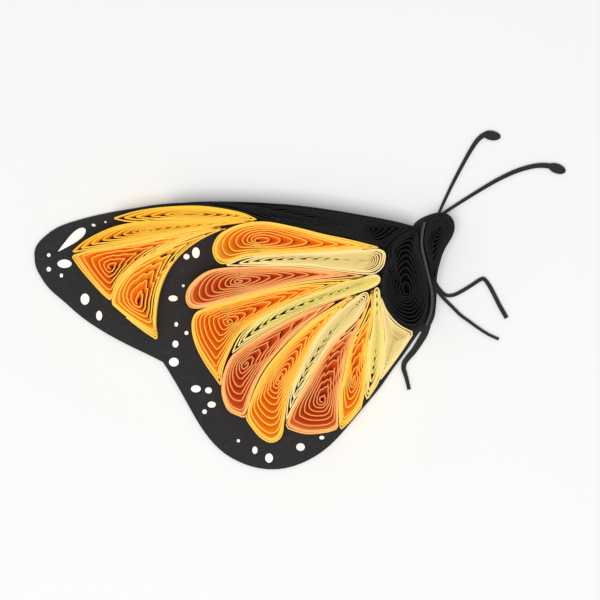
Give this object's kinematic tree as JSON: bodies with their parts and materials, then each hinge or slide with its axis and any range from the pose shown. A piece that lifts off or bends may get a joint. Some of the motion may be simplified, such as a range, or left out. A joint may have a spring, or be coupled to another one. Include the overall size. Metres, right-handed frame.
{
  "type": "quilled paper butterfly",
  "caption": "Flat butterfly ornament of rolled paper strips standing on edge on a die-cut card silhouette, to glue onto a card or frame.",
  "frame": {"origin": "on the back face of the card, under the middle of the thorax", "axes": "+X to the head's side, +Y to the leading edge of the forewing, +Z out of the card towards the viewer"},
  "size_m": [0.0675, 0.043, 0.0033],
  "materials": {
    "grey_card": "matt",
    "black_paper": "matt",
    "yellow_paper": "matt",
    "orange_paper": "matt",
    "red_paper": "matt",
    "cream_paper": "matt",
    "white_print": "matt"
  },
  "bodies": {
    "root": {"wing_backing": "grey_card", "forewing_coil_1": "yellow_paper", "forewing_coil_2": "yellow_paper", "forewing_coil_3": "orange_paper", "forewing_coil_4": "yellow_paper", "hindwing_coil_1": "orange_paper", "hindwing_coil_2": "cream_paper", "hindwing_coil_3": "red_paper", "hindwing_coil_4": "orange_paper", "hindwing_coil_5": "cream_paper", "hindwing_coil_6": "red_paper", "hindwing_coil_7": "orange_paper", "hindwing_coil_8": "cream_paper", "hindwing_coil_9": "red_paper", "hindwing_coil_10": "orange_paper", "hindwing_coil_11": "cream_paper", "hindwing_coil_12": "cream_paper", "leading_edge_coil": "black_paper", "thorax_coil": "black_paper", "head_coil": "black_paper", "body_divider": "black_paper"}
  },
  "joints": []
}
